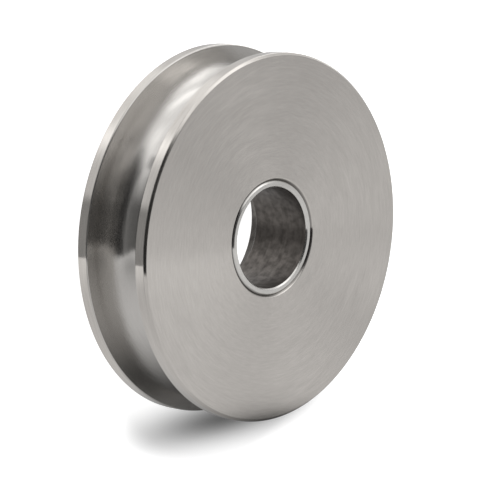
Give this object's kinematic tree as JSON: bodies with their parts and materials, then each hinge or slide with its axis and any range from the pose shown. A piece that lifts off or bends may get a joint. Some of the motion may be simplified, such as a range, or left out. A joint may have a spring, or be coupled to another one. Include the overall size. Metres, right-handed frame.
{
  "type": "guide pulley",
  "caption": "Flat steel guide pulley with a deep round rope groove between two thin flanges, a plain dry bush in its bore and a round recess in one face.",
  "frame": {"origin": "on the pulley's axis, at the lower flat face that it lies on", "axes": "+Z along the axis of the bore, from the lower flat face to the upper one; X and Y in the face"},
  "size_m": [0.08, 0.08, 0.02],
  "materials": {
    "sheave": "turned, satin, bare",
    "bush": "bright steel ends, matte dark dry lining"
  },
  "bodies": {
    "root": {"sheave": "sheave", "bush": "bush"}
  },
  "joints": []
}
